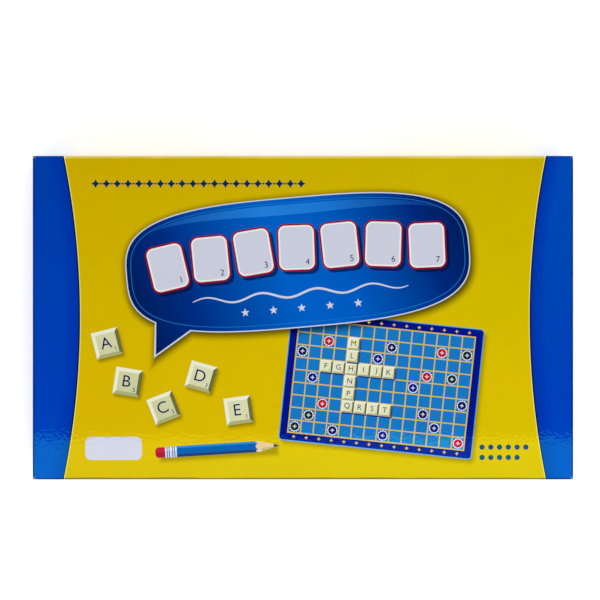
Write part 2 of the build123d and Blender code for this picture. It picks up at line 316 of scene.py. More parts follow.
def edge_rub_effect(graph, half_length, half_width, top, reach):
    """A box's outer edges: pale patches near two faces at once, painted shade along the ends and front, and a
    painted highlight along the back.
    """
    vector = graph.place()
    x, y, z = graph.parts(vector)
    near_end, near_side, near_top = half_length - abs(x), half_width - abs(y), top - z
    farther = graph.most(near_end, near_side)
    edge = graph.most(graph.least(near_end, near_side), graph.least(farther, near_top))
    patch = graph.noise(vector, 140.0, 4.0, 0.7)
    at_edge = graph.fall(edge, 0.0, reach) * graph.remap(patch, 0.58, 0.72)
    at_corner = graph.fall(graph.most(farther, near_top), 0.0, reach * 3.0) * graph.remap(patch, 0.35, 0.6)
    swell = graph.remap(graph.noise(vector, 30.0, 2.0, 0.6), 0.3, 0.7, -0.3 * MM, 0.35 * MM)
    # Painted shade darkens the top's end and front edges, and a painted highlight lightens its back edge.
    from_end_or_front = graph.least(near_end, half_width + y) - swell
    from_back = half_width - y - swell
    on_top = graph.fall(near_top, 0.3 * MM, 1.4 * MM)
    return {"mask": graph.least(at_edge + at_corner, 1.0),
            "crease": graph.fall(from_end_or_front, 1.1 * MM, 1.8 * MM) * on_top,
            "worn": graph.fall(from_back, 0.8 * MM, 2.4 * MM) * on_top}


def flap_line_effect(graph, half_length, half_width, flap):
    """Where the wrap's end flap stops on a box's end walls: a thin cut edge beside each upright corner."""
    vector = graph.place()
    x, y, _ = graph.parts(vector)
    on_end = graph.remap(abs(x) - half_length, -0.5 * MM, -0.3 * MM)
    past = half_width - abs(y) + graph.noise(vector, 25.0) * (0.8 * MM) - flap
    return {"edge": graph.fall(abs(past), 0.0, 0.3 * MM) * on_end,
            "step": graph.remap(past, -0.15 * MM, 0.15 * MM) * on_end}


def panel_distance(graph, folded, half_size, radius):
    """How far a point lies outside a rectangle with round corners."""
    past_x, past_y = [part + radius for part in graph.parts(graph.vector("SUBTRACT", folded, half_size))[:2]]
    out_x, out_y = graph.most(past_x, 0.0), graph.most(past_y, 0.0)
    outside = graph.math("SQRT", out_x * out_x + out_y * out_y)
    return outside + graph.least(graph.most(past_x, past_y), 0.0) - radius


def oval_distance(graph, folded, half_size, fullness):
    """How far a point lies outside a filled-out oval, from the oval's own equation and its slope."""
    shares = [graph.most(part, 1e-4) for part in graph.parts(graph.vector("DIVIDE", folded, half_size))[:2]]
    level = (shares[0] ** fullness + shares[1] ** fullness) ** (1.0 / fullness)
    slope_x, slope_y = [(share / level) ** (fullness - 1.0) / half
                        for share, half in zip(shares, graph.parts(half_size))]
    slope = graph.node("ShaderNodeCombineXYZ", "Vector", x=slope_x, y=slope_y)
    return (level - 1.0) / graph.vector("LENGTH", slope, output="Value")


def fade(graph, distance, soft):
    """One inside a printed shadow and nothing outside it, with a soft edge."""
    return graph.remap(distance, soft * -1.0, soft, 1.0, 0.0, "SMOOTHSTEP")


def shade_group(name, measure, usual_shape):
    """The soft printed shadow of a turned panel or oval. Shape is a corner radius, or an oval's fullness."""
    def effect(graph, centre, turn, half_size, shape, soft):
        offset = graph.vector("SUBTRACT", graph.place(), centre)
        turned_back = graph.node("ShaderNodeVectorRotate", "Vector", {"rotation_type": "Z_AXIS"},
                                 vector=offset, angle=turn * -1.0)
        folded = graph.vector("ABSOLUTE", turned_back)
        return {"shade": fade(graph, measure(graph, folded, half_size, shape), soft)}

    return shader_group(name, effect, centre=(0.0, 0.0, 0.0), turn=0.0, half_size=(0.1, 0.1, 0.1),
                        shape=usual_shape, soft=0.004)


mid_grey = (0.5, 0.5, 0.5, 1.0)
laminate = shader_group("laminate", laminate_effect, wave=1.0, peel=0.35, roughness=0.12)
ink_grain = shader_group("ink_grain", ink_grain_effect, color=mid_grey, amount=0.06)
fibre = shader_group("fibre", fibre_effect, color=mid_grey, cloud=0.08, flecks=0.2)
moulding = shader_group("moulding", moulding_effect, color=mid_grey, flow=0.05, roughness=0.3)
edge_rub = shader_group("edge_rub", edge_rub_effect, half_length=0.2, half_width=0.1, top=0.05, reach=0.0012)
flap_line = shader_group("flap_line", flap_line_effect, half_length=0.2, half_width=0.1, flap=0.013)
panel_shade = shade_group("panel_shade", panel_distance, 0.005)
oval_shade = shade_group("oval_shade", oval_distance, 3.0)


# Kinds of material


def rgb(red, green, blue):
    """A colour written in the usual 0 to 255 steps, as the shader's linear values."""
    def linear(step):
        share = step / 255
        return share / 12.92 if share <= 0.04045 else ((share + 0.055) / 1.055) ** 2.4
    return tuple(linear(step) for step in (red, green, blue))


def new_material(name):
    """An empty node material and its graph."""
    material = bpy.data.materials.new(name)
    material.use_nodes = True
    material.node_tree.nodes.clear()
    return material, Graph(material.node_tree)


def surface(graph, color, roughness, height, depth, **constants):
    """Ends a material with one shader; depth is the relief of a full step of height, in millimetres."""
    normal = graph.node("ShaderNodeBump", "Normal", height=height, distance=depth * MM, strength=1.0)
    shader = graph.node("ShaderNodeBsdfPrincipled", "BSDF", base_color=color, roughness=roughness,
                        normal=normal, **constants)
    graph.node("ShaderNodeOutputMaterial", surface=shader)


def gloss_tint(hue):
    """Strong ink keeps its hue in the film's reflection: what the ink lacks comes back weakly."""
    return tuple(min(1.0, 0.04 + 6.0 * part / max(hue)) for part in hue)


def laminated(graph, color, hue, relief=0.0):
    """Printed colour under the glossy film, over any relief of its own. The gloss leans to the hue."""
    film = graph.group(laminate, wave=1.0, peel=0.75, roughness=0.02)
    surface(graph, color, film.roughness, film.height + relief, 0.03, IOR=1.46, specular_tint=gloss_tint(hue))


def wrapped(graph, color, half_length, half_width, top, hue):
    """A box's wrap: its end flaps show as thin edges, and its outer edges get painted shade, a painted
    highlight and rubbed patches.
    """
    half_size = {"half_length": half_length * MM, "half_width": half_width * MM}
    flap = graph.group(flap_line, flap=13.0 * MM, **half_size)
    edge = graph.group(edge_rub, top=top, reach=1.0 * MM, **half_size)
    color = graph.mix(flap.edge * 0.35, color, rgb(226, 222, 210))
    # Painted shade along the top's end and front edges, then a painted highlight along its back edge,
    # strongest on pale yellows.
    color = graph.mix(edge.crease * 0.85, color, (0.2, 0.2, 0.3), "MULTIPLY")
    pale = graph.node("ShaderNodeSeparateColor", "Red", color=color)
    highlit_color = graph.mix(pale * 0.25, graph.scale(color, pale * 0.8 + 1.0), (1.0, 1.0, 1.0))
    color = graph.mix(edge.worn, color, highlit_color)
    color = graph.mix(edge.mask * 0.35, color, rgb(232, 228, 214))
    laminated(graph, color, hue, flap.step * 3.0)


def shaded(graph, color, shadows):
    """A printed colour darkened by a stack of printed shadows."""
    return graph.scale(color, graph.group(shadows).light)


def printed(name, color, grain=0.05, shadows=None):
    """A flat printed ink under the film, and any shadows printed over it."""
    material, graph = new_material(name)
    inked = graph.group(ink_grain, color=color, amount=grain).color
    laminated(graph, inked if shadows is None else shaded(graph, inked, shadows), color)
    return material


def graded(name, stops, centre, reach, angle):
    """Printed ink that changes along a line through centre (mm), from -reach to reach."""
    material, graph = new_material(name)
    along = graph.node("ShaderNodeMapping", "Vector", {"vector_type": "TEXTURE"}, vector=graph.place(),
                       location=(centre[0] * MM, centre[1] * MM, 0.0), rotation=(0.0, 0.0, angle))
    color = graph.ramp(graph.remap(graph.parts(along)[0], -reach * MM, reach * MM), stops)
    laminated(graph, graph.group(ink_grain, color=color, amount=0.05).color, stops[len(stops) // 2][1])
    return material


def paper(name, color, cloud=0.05, flecks=0.0, roughness=0.85, relief=0.03):
    """Uncoated paper or board."""
    material, graph = new_material(name)
    pulp = graph.group(fibre, color=color, cloud=cloud, flecks=flecks)
    surface(graph, pulp.color, roughness, pulp.height, relief)
    return material


def moulded(graph, color, roughness, **constants):
    """Ends a material as injection-moulded plastic."""
    cast = graph.group(moulding, color=color, flow=0.05, roughness=roughness)
    surface(graph, cast.color, cast.roughness, cast.height, 0.006, **constants)


def plastic(name, color, roughness):
    """Injection-moulded plastic of one colour."""
    material, graph = new_material(name)
    moulded(graph, color, roughness)
    return material


# Letters: how many tiles each has, with the blank last, and the small number on its tile

letter_counts = {
    "A": 8, "B": 3, "C": 3, "D": 4, "E": 11, "F": 2, "G": 3, "H": 3, "I": 8, "J": 1, "K": 2, "L": 4, "M": 3,
    "N": 5, "O": 8, "P": 3, "Q": 1, "R": 5, "S": 5, "T": 5, "U": 4, "V": 2, "W": 2, "X": 1, "Y": 2, "Z": 1,
    "": 1,
}


def letter_number(letter):
    """Rarer letters count more."""
    return str(max(1, min(10, 11 - 2 * letter_counts[letter])))


# Flat shapes, in millimetres: a list of closed loops, where a point in an even number of loops is outside


def turned(loops, centre=(0.0, 0.0), angle=0.0, size=1.0):
    """The same loops, scaled and turned about (0, 0), then moved to centre."""
    c, s = size * math.cos(angle), size * math.sin(angle)
    return [[(centre[0] + c * x - s * y, centre[1] + s * x + c * y) for x, y in loop] for loop in loops]


def rectangle(width, height, middle=(0.0, 0.0)):
    """A plain rectangle round its middle."""
    a, b = width / 2, height / 2
    x, y = middle
    return [(x - a, y - b), (x + a, y - b), (x + a, y + b), (x - a, y + b)]


def round_rectangle(width, height, radius, middle=(0.0, 0.0), steps=6):
    """A rectangle with round corners."""
    loop = []
    for quarter, (side, end) in enumerate(((1, 1), (-1, 1), (-1, -1), (1, -1))):
        across = middle[0] + side * (width / 2 - radius)
        up = middle[1] + end * (height / 2 - radius)
        for step in range(steps + 1):
            angle = (quarter + step / steps) * math.pi / 2
            loop.append((across + radius * math.cos(angle), up + radius * math.sin(angle)))
    return loop


def star(outer, inner, points, middle=(0.0, 0.0), start=math.pi / 2):
    """A star, or with many points a toothed disc."""
    angles = [start + step * math.pi / points for step in range(2 * points)]
    return [(middle[0] + radius * math.cos(angle), middle[1] + radius * math.sin(angle))
            for radius, angle in zip((outer, inner) * points, angles)]


def disc(radius, middle=(0.0, 0.0), steps=20):
    """A round spot."""
    return star(radius, radius, steps // 2, middle, 0.0)


def full_oval(half_width, half_height, fullness, middle=(0.0, 0.0), steps=96):
    """An oval whose sides are filled out towards a rectangle as fullness grows from 2."""
    loop = []
    for step in range(steps):
        angle = 2 * math.pi * step / steps
        c, s = math.cos(angle), math.sin(angle)
        loop.append((middle[0] + half_width * math.copysign(abs(c) ** (2 / fullness), c),
                     middle[1] + half_height * math.copysign(abs(s) ** (2 / fullness), s)))
    return loop


def brush_line(points, widths):
    """A band along a line of points that swells and thins as a pen does."""
    left, right = [], []
    for index, ((x, y), width) in enumerate(zip(points, widths)):
        before, after = points[max(index - 1, 0)], points[min(index + 1, len(points) - 1)]
        dx, dy = after[0] - before[0], after[1] - before[1]
        half = width / 2 / math.hypot(dx, dy)
        left.append((x - dy * half, y + dx * half))
        right.append((x + dy * half, y - dx * half))
    return left + right[::-1]


def without_straights(loop):
    """Drops the points that lie on the line between their neighbours."""
    kept = []
    for before, here, after in zip(loop[-1:] + loop[:-1], loop, loop[1:] + loop[:1]):
        ax, ay, bx, by = here[0] - before[0], here[1] - before[1], after[0] - here[0], after[1] - here[1]
        if abs(ax * by - ay * bx) > 1e-7:
            kept.append(here)
    return kept


def counterclockwise(loop):
    """The same loop, running counterclockwise."""
    twice_area = sum(a[0] * b[1] - b[0] * a[1] for a, b in zip(loop, loop[1:] + loop[:1]))
    return loop if twice_area > 0 else loop[::-1]


typeface = {}


def outlines(text):
    """The loops of some characters about their middle, and their height, drawn once."""
    if text not in typeface:
        curve = bpy.data.curves.new("characters", "FONT")
        curve.body = text
        holder = add_object("characters", curve)
        bpy.context.view_layer.update()
        depsgraph = bpy.context.evaluated_depsgraph_get()
        outline = holder.evaluated_get(depsgraph)
        loops = []
        for spline in outline.to_curve(depsgraph).splines:
            knots = list(spline.bezier_points)
            loop = []
            for start, stop in zip(knots, knots[1:] + knots[:1]):
                loop += geometry.interpolate_bezier(start.co, start.handle_right, stop.handle_left,
                                                    stop.co, 5)[:-1]
            loops.append(without_straights([(point.x, point.y) for point in loop]))
        outline.to_curve_clear()
        bpy.data.objects.remove(holder)
        bpy.data.curves.remove(curve)
        xs, ys = zip(*(point for loop in loops for point in loop))
        middle = ((min(xs) + max(xs)) / 2, (min(ys) + max(ys)) / 2)
        typeface[text] = turned(loops, (-middle[0], -middle[1])), max(ys) - min(ys)
    return typeface[text]


def character(text, cap_height, middle=(0.0, 0.0)):
    """The outlines of printed characters with capitals of this height."""
    return turned(outlines(text)[0], middle, size=cap_height / outlines("H")[1])


def row_of(count, pitch, start, loop):
    """Copies of a loop side by side along X, the first one moved to start."""
    return [turned([loop], (start[0] + step * pitch, start[1]))[0] for step in range(count)]


def grid(columns, rows, pitch):
    """The middles of a grid's cells round (0, 0), by column and row."""
    return {(column, row): ((column - (columns - 1) / 2) * pitch, (row - (rows - 1) / 2) * pitch)
            for column in range(columns) for row in range(rows)}


class Sheet(list):
    """Prints in painting order: pairs of an ink and its loops. Loops with no ink cut a hole."""

    def lay(self, ink, *loops):
        """Prints loops over what is there."""
        self.append((ink, list(loops)))

    def placed(self, centre, angle=0.0):
        """The same prints, turned about (0, 0) and moved to centre."""
        return Sheet((ink, turned(loops, centre, angle)) for ink, loops in self)


def over(origin, across=(1, 0, 0), up=(0, 1, 0), out=(0, 0, 1)):
    """Turns (across, up, height), in millimetres from an origin, into points of the frame."""
    def place(*steps):
        return [start + MM * sum(step * way[axis] for step, way in zip(steps, (across, up, out)))
                for axis, start in enumerate(origin)]

    return place


def over_top(node):
    """The same over the flat top of a node, from its middle."""
    low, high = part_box(node)
    return over(((low.x + high.x) / 2, (low.y + high.y) / 2, high.z))


def print_film(name, sheet, place, body, thickness=film_thickness):
    """Lays a sheet of prints on the object as one thin closed film.

    place turns (across, up, height), in millimetres, into a point of the frame.
    """
    points, loops, owners = [], [], []
    for layer, (_, shape) in enumerate(sheet):
        for loop in shape:
            loops.append(list(range(len(points), len(points) + len(loop))))
            points += [Vector(point) for point in counterclockwise(loop)]
            owners.append(layer)
    flat, _, triangles, _, _, sources = geometry.delaunay_2d_cdt(points, [], loops, 1, 1e-5, True)

    origin = Vector(place(0, 0, 0))
    across, up, out = (Vector(place(*step)) - origin for step in ((1, 0, 0), (0, 1, 0), (0, 0, 1)))
    mirrored = across.cross(up).dot(out) < 0

    materials, faces, edges = [], [], {}
    for triangle, source in zip(triangles, sources):
        layers = [owners[loop] for loop in source]
        inked = [layer for layer in set(layers) if layers.count(layer) % 2]
        ink = sheet[max(inked)][0] if inked else None
        if ink is None:
            continue
        a, b, c = (flat[index] for index in triangle)
        if ((b - a).cross(c - a) < 0) != mirrored:
            triangle = triangle[::-1]
        if ink not in materials:
            materials.append(ink)
        faces.append((tuple(triangle), materials.index(ink)))
        for start, stop in zip(triangle, triangle[1:] + triangle[:1]):
            edges[start, stop] = faces[-1][1]

    used = sorted({index for triangle, _ in faces for index in triangle})
    number = {index: count for count, index in enumerate(used)}
    below = len(used)
    corners = [place(*flat[index], height) for height in (film_lift + thickness, film_lift) for index in used]
    polygons = [([number[i] for i in triangle], ink) for triangle, ink in faces]
    polygons += [([number[i] + below for i in reversed(triangle)], ink) for triangle, ink in faces]
    for (start, stop), ink in edges.items():
        if (stop, start) not in edges:
            a, b = number[start], number[stop]
            polygons.append(([b, a, a + below, b + below], ink))

    mesh = bpy.data.meshes.new(name)
    mesh.from_pydata(corners, [], [polygon for polygon, _ in polygons])
    for ink in materials:
        mesh.materials.append(ink)
    mesh.polygons.foreach_set("material_index", [ink for _, ink in polygons])
    mesh.update()
    piece = add_object(name, mesh)
    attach(piece, body)


# Where things lie on the cover, in millimetres from its middle

ground_inset = 1.5
band_radius = 627.0
band_reaches = ((-1, 173.0), (1, 175.9))
bubble_centre = (-4.0, 43.0)
bubble_half = (133.0, 50.0)
bubble_turn = math.radians(5.0)
bubble_fullness = 3.1
bubble_tail = ((-112.0, -22.0), (-116.0, -62.0), (-76.0, -38.0))
glint_inset, glint_depth = 4.6, 8.0
pad_count = 7
pad_row_half, pad_row_up, pad_row_sag = 101.0, 11.5, 7.0
pad_fan, pad_tilt = 5.5, 3.0
sheet_centre = (61.0, -52.0)
sheet_turn = math.radians(-6.0)
sheet_columns, sheet_rows = 14, 9
sheet_cell = 9.8
sheet_line = 0.9
sheet_border = 6.0
sheet_size = (sheet_columns * sheet_cell + 2 * sheet_border, sheet_rows * sheet_cell + 2 * sheet_border)
loose_tile = 21.0
loose_tiles = (("A", (-152.0, -20.0), 14.0), ("B", (-136.0, -50.0), -9.0), ("C", (-108.0, -70.0), 21.0),
               ("D", (-79.0, -46.0), -16.0), ("E", (-50.0, -72.0), 8.0))
pencil_centre = (-66.0, -102.0)
pencil_length, pencil_width = 96.0, 8.5
pencil_cap, pencil_point = 15.0, 16.0
pencil_turn = math.radians(3.5)
sparkle_pitch = 8.4
badge_centre = (-147.0, -101.5)


# Printed shadows of what lies on the cover

bubble_shadow_step = (1.0, -1.6)
bubble_shadow_spread = 3.0
bubble_shadow_soft = 4.5
bubble_shadow_depth = 0.85


def moved(point, step):
    """A point moved by a step."""
    return (point[0] + step[0], point[1] + step[1])


def panel_shadow(centre, step, angle, size, radius, soft, depth):
    """The shadow that a panel casts one step away, with its corner radius, softness and strength."""
    return panel_shade, moved(centre, step), angle, (size[0] / 2, size[1] / 2), radius * MM, soft, depth


bubble_shadow = (oval_shade, moved(bubble_centre, bubble_shadow_step), bubble_turn,
                 [half + bubble_shadow_spread for half in bubble_half], bubble_fullness,
                 bubble_shadow_soft, bubble_shadow_depth)
ground_shadows = [
    bubble_shadow,
    panel_shadow(sheet_centre, (2.0, -3.0), sheet_turn, sheet_size, 3.0, 3.5, 0.6),
    panel_shadow(pencil_centre, (1.0, -3.0), pencil_turn, (pencil_length - 4.0, pencil_width), 2.0, 2.6, 0.5),
]
for _, centre, angle in loose_tiles:
    ground_shadows.append(panel_shadow(centre, (1.3, -2.2), math.radians(angle), (loose_tile, loose_tile),
                                       2.0, 2.4, 0.55))


def wedge_distance(graph, corners):
    """How far a point lies outside a convex outline, whose corners run counterclockwise in millimetres."""
    vector = graph.place()
    farthest = -1.0
    for here, after in zip(corners, corners[1:] + corners[:1]):
        dx, dy = after[0] - here[0], after[1] - here[1]
        length = math.hypot(dx, dy)
        across = graph.vector("DOT_PRODUCT", vector, (dy / length, -dx / length, 0.0), output="Value")
        farthest = graph.most(farthest, across - (here[0] * dy - here[1] * dx) / length * MM)
    return farthest


def shadow_stack(name, shadows):
    """How much light is left under the tail's shadow and a set of others, from 0 to 1."""
    def effect(graph):
        tail = turned([bubble_tail], moved(bubble_centre, bubble_shadow_step), bubble_turn)[0]
        past_tail = wedge_distance(graph, tail) - bubble_shadow_spread * MM
        light = fade(graph, past_tail, bubble_shadow_soft * MM) * -bubble_shadow_depth + 1.0
        for group, centre, angle, half, shape, soft, depth in shadows:
            cast = graph.group(group, centre=(centre[0] * MM, centre[1] * MM, 0.0), turn=angle,
                               half_size=(half[0] * MM, half[1] * MM, 1.0), shape=shape, soft=soft * MM)
            light = graph.least(light, cast.shade * -depth + 1.0)
        return {"light": light}

    return shader_group(name, effect)


shade_on_ground = shadow_stack("shade_on_ground", ground_shadows)
shade_on_sheet = shadow_stack("shade_on_sheet", [bubble_shadow])


# The cover's ground: yellow between two blue end bands

yellow = rgb(209, 185, 0)
band_blue = rgb(0, 66, 172)
edge_lines = ((0.0, 0.65, rgb(244, 230, 130)), (-1.0, 0.0, rgb(2, 10, 60)))


def cover_material(name, hue):
    """The lid's wrap: yellow, blue end bands with a pale and a dark line, painted light and shade, and rubbed
    edges.
    """
    material, graph = new_material(name)
    x, y, z = graph.parts(graph.place())
    inward = []
    for side, reach in band_reaches:
        from_centre = x - side * (reach + band_radius) * MM
        inward.append(graph.math("SQRT", from_centre * from_centre + y * y) - band_radius * MM)
    distance = graph.least(*inward)
    half_length, half_width = lid_half_length * MM, lid_half_width * MM
    across = graph.remap(y, -half_width, half_width)
    # Painted light: the blue bands are lighter towards the front of the lid and towards its right end.
    blue = graph.ramp(across, [(0.0, rgb(0, 70, 196)), (0.25, rgb(0, 65, 190)), (1.0, rgb(0, 64, 174))])
    rightward = graph.remap(x, 0.0, half_length) * graph.remap(across, 0.25, 0.85)
    blue = graph.mix(rightward * 0.7, blue, rgb(0, 80, 194))
    blue = graph.mix(graph.remap(distance, -13.0 * MM, -1.0 * MM, 0.0, 0.85), blue, rgb(0, 48, 172))
    # Painted light: the yellow is lighter towards the front, darker towards the back, and a little lighter to
    # the right.
    ground = graph.ramp(across, [(0.0, rgb(212, 187, 7)), (0.12, rgb(220, 191, 3)), (0.3, rgb(221, 191, 2)),
                                 (0.55, rgb(216, 188, 1)), (1.0, rgb(208, 180, 0))])
    lighter_to_right = graph.mix(graph.remap(x, -0.7 * half_length, 0.7 * half_length), (1.0, 0.96, 1.0),
                       (1.0, 1.03, 1.0))
    ground = graph.mix(1.0, ground, lighter_to_right, "MULTIPLY")
    color = graph.mix(graph.remap(distance, -0.05 * MM, 0.05 * MM), blue, ground)
    for low, high, line in edge_lines:
        past_low = graph.remap(distance, (low - 0.1) * MM, (low + 0.1) * MM)
        color = graph.mix(past_low * graph.fall(distance, (high - 0.1) * MM, (high + 0.1) * MM), color, line)
    color = graph.group(ink_grain, color=color, amount=0.05).color
    on_top = graph.remap(z, lid_high.z - 1.5 * MM, lid_high.z - 0.2 * MM)
    color = graph.mix(on_top, color, shaded(graph, color, shade_on_ground))
    wrapped(graph, color, lid_half_length, lid_half_width, lid_high.z, hue)
    return material


cover_ground = cover_material("cover_ground", band_blue)
cover_field = cover_material("cover_field", yellow)
cover_bands = cover_material("cover_bands", band_blue)


def band_edge(reach, y):
    """How far from the middle a band's curved inner edge lies at one height."""
    return reach + band_radius - math.sqrt(band_radius ** 2 - y * y)


def ground_print():
    """The cover's ground as film: the whole flat top, then the two blue end bands over it."""
    length, width = lid_half_length - ground_inset, lid_half_width - ground_inset
    heights = [width * step / 24 for step in range(-24, 25)]
    sheet = Sheet()
    sheet.lay(cover_field, rectangle(2 * length, 2 * width))
    sheet.lay(cover_bands, *([(side * length, -width), *((side * band_edge(reach, y), y) for y in heights),
                              (side * length, width)] for side, reach in band_reaches))
    return sheet


def wall_ground_print(view):
    """The ground of a long wall, seen from the front (1) or the back (-1): yellow between blue ends."""
    length, height = lid_half_length - ground_inset, lid_wall_height - 2 * ground_inset
    sheet = Sheet()
    sheet.lay(cover_field, rectangle(2 * length, height))
    for side, reach in band_reaches:
        start = band_edge(reach, lid_half_width)
        sheet.lay(cover_bands, rectangle(length - start, height, (side * view * (start + length) / 2, 0.0)))
    return sheet


# Inks

sky_blue = rgb(24, 122, 200)
deep_blue = rgb(2, 22, 138)
line_yellow = rgb(228, 190, 44)
ink = SimpleNamespace(**{name: printed(f"ink_{name}", color) for name, color in {
    "red": rgb(158, 12, 32), "bright_red": rgb(198, 20, 42), "navy": rgb(8, 22, 92),
    "caption": rgb(6, 42, 98), "band": rgb(0, 66, 168), "deep_blue": deep_blue, "sky": sky_blue,
    "green_black": rgb(14, 44, 40), "yellow": line_yellow, "wood": rgb(232, 196, 140),
    "tile_light": rgb(240, 241, 216), "tile_side": rgb(176, 178, 122), "tile_dark": rgb(112, 112, 62),
}.items()})
ink.white = printed("ink_white", rgb(240, 240, 238), 0.03)
ink.lavender = printed("ink_lavender", rgb(208, 212, 228), 0.04)
tile_stops = [(0.0, rgb(196, 200, 148)), (0.5, rgb(216, 219, 172)), (1.0, rgb(230, 232, 194))]
ink.tile = graded("ink_tile", tile_stops, (-100.0, -50.0), 60.0, 0.9)
sheet_blue, sheet_sky, sheet_yellow, sheet_edge = (
    printed(f"sheet_{name}", color, shadows=shade_on_sheet)
    for name, color in (("blue", deep_blue), ("sky", sky_blue), ("yellow", line_yellow),
                        ("edge", rgb(84, 160, 226))))


def bubble_ink(name, *colors, positions=(0.0, 0.2, 0.46, 0.6, 0.84, 1.0)):
    """Ink that is brightest across the bubble's middle."""
    return graded(name, list(zip(positions, colors)), bubble_centre, 144.0, math.radians(22.0))


bubble_blue = bubble_ink("ink_bubble", rgb(2, 18, 72), rgb(0, 48, 136), rgb(0, 98, 202), rgb(0, 94, 198),
                         rgb(0, 42, 126), rgb(2, 18, 72))
bubble_glint = bubble_ink("ink_bubble_glint", rgb(10, 36, 96), rgb(20, 78, 164), rgb(34, 130, 222),
                          rgb(30, 124, 218), rgb(16, 70, 156), rgb(10, 36, 96))
bubble_shade = bubble_ink("ink_bubble_shade", rgb(2, 12, 52), rgb(0, 44, 116), rgb(2, 12, 52),
                          positions=(0.0, 0.5, 1.0))


# What is printed on the cover


def tile_print(size, letter):
    """A pictured letter tile: four bevels, a flat face, its letter and its number."""
    outer, inner = rectangle(size, size), rectangle(size * 0.74, size * 0.74)
    sheet = Sheet()
    for side, bevel in enumerate((ink.tile_side, ink.tile_dark, ink.tile_light, ink.tile_light)):
        after = (side + 1) % 4
        sheet.lay(bevel, [outer[side], outer[after], inner[after], inner[side]])
    sheet.lay(ink.tile, inner)
    sheet.lay(ink.navy, *character(letter, size * 0.42, (-size * 0.04, size * 0.03)))
    sheet.lay(ink.navy, *character(letter_number(letter), size * 0.15, (size * 0.27, -size * 0.25)))
    return sheet


def pad_print(number, sizes, number_height, number_place):
    """A blank numbered pad: red, white and lavender plates by (width, height, radius), and its number."""
    sheet = Sheet()
    for color, size in zip((ink.red, ink.white, ink.lavender), sizes):
        sheet.lay(color, round_rectangle(*size))
    sheet.lay(ink.navy, *character(str(number), number_height, number_place))
    return sheet


def bubble_print():
    """The big blue speech bubble, with a row of blank numbered pads, a wavy line and stars."""
    half_width, half_height = bubble_half
    (root_x, root_y), (tip_x, tip_y), (end_x, end_y) = bubble_tail
    sheet = Sheet()
    for grow, color in ((0.9, ink.lavender), (0.0, bubble_blue)):
        sheet.lay(color, full_oval(half_width + grow, half_height + grow, bubble_fullness))
        sheet.lay(color, [(root_x - grow, root_y), (tip_x - 1.9 * grow, tip_y - 2.6 * grow),
                          (end_x + 1.3 * grow, end_y - grow)])
    rim = [(x, half_height * (1 - abs(x / half_width) ** bubble_fullness) ** (1 / bubble_fullness))
           for x in range(-112, 113, 4)]
    glint = [(x, y - glint_inset) for x, y in rim]
    belly = [(x, y - glint_depth * (1 - (x / 113.0) ** 2)) for x, y in glint]
    sheet.lay(bubble_glint, glint + belly[::-1])
    sheet.lay(ink.sky, *(full_oval(half_width - inset, half_height - inset, bubble_fullness)
                         for inset in (3.0, 3.5)))

    sizes = ((30.2, 37.0, 6.6), (27.6, 34.4, 5.3), (25.0, 31.8, 4.2))
    for number in range(1, pad_count + 1):
        share = (number - 1) / (pad_count - 1) * 2 - 1
        middle = (share * pad_row_half, pad_row_up - pad_row_sag * share * share)
        angle = math.radians(-pad_fan * share + (pad_tilt if number % 2 else -pad_tilt))
        shadow = round_rectangle(29.5, 36.5, 6.2)
        sheet.lay(bubble_shade, *turned([shadow], moved(middle, (2.4, -2.8)), angle))
        sheet += pad_print(number, sizes, 4.6, (8.2, -11.2)).placed(middle, angle)

    steps = range(113)
    waves = [(-84.0 + 1.5 * step, -24.0 + 2.6 * math.sin(step * 0.22)) for step in steps]
    widths = [0.5 + 1.3 * math.sin(math.pi * step / 112) ** 0.5 for step in steps]
    sheet.lay(ink.lavender, brush_line(waves, widths))
    sheet.lay(ink.lavender, *row_of(5, 22.0, (-44.0, -35.5), star(3.4, 1.5, 5)))
    return sheet.placed(bubble_centre, bubble_turn)


def pencil_print():
    """The pictured pencil: three lit flats, a ferrule, a rubber, and a sharpened wooden end."""
    width, tip = pencil_width, pencil_length / 2
    end, wood = -tip, tip - pencil_point
    barrel = end + pencil_cap
    sheet = Sheet()
    for color, low, high in ((ink.sky, 0.0, 0.2), (ink.band, 0.2, 0.74), (ink.navy, 0.74, 1.0)):
        half, middle = (high - low) * width / 2, width / 2 - (low + high) / 2 * width
        sheet.lay(color, rectangle(wood - barrel, 2 * half, ((wood + barrel) / 2, middle)))
        sheet.lay(ink.wood, full_oval(2.6, half, 2.0, (wood, middle), 16))
    sheet.lay(ink.wood, [(wood, -width / 2), (tip, 0.0), (wood, width / 2)])
    sheet.lay(ink.tile_side, [(wood + 2.0, -width * 0.43), (tip, 0.0), (wood + 2.0, -width * 0.14)])
    sheet.lay(ink.navy, [(tip - 4.6, -width * 0.144), (tip, 0.0), (tip - 4.6, width * 0.144)])
    sheet.lay(ink.red, round_rectangle(10.0, width * 0.94, 2.6, (end + 4.4, 0.0)))
    sheet.lay(ink.bright_red, round_rectangle(8.6, width * 0.34, 1.2, (end + 4.6, width * 0.2)))
    sheet.lay(ink.lavender, rectangle(9.0, width, (end + 11.5, 0.0)))
    sheet.lay(ink.white, rectangle(9.0, width * 0.22, (end + 11.5, width * 0.24)))
    for groove in (8.6, 10.2, 12.8, 14.4):
        sheet.lay(ink.band, rectangle(0.7, width, (end + groove, 0.0)))
    return sheet.placed(pencil_centre, pencil_turn)


# The pictured sheet's bonus marks and tiles, by column and row from the lower left
sheet_marks = (
    (ink.green_black, ((0, 0), (12, 5), (1, 1), (13, 7))),
    (ink.bright_red, ((13, 0), (2, 2), (2, 7), (11, 7), (10, 5))),
    (ink.navy, ((10, 2), (13, 3), (0, 6), (3, 0), (7, 7))),
    (ink.deep_blue, ((7, 0), (1, 4), (9, 4), (11, 1), (6, 6))),
)
sheet_tiles = [(column, 5, letter) for column, letter in zip(range(2, 8), "FGHIJK")]
sheet_tiles += [(4, row, letter) for row, letter in zip((7, 6, 4, 3, 2), "MLNPQ")]
sheet_tiles += [(column, 2, letter) for column, letter in zip(range(5, 8), "RST")]


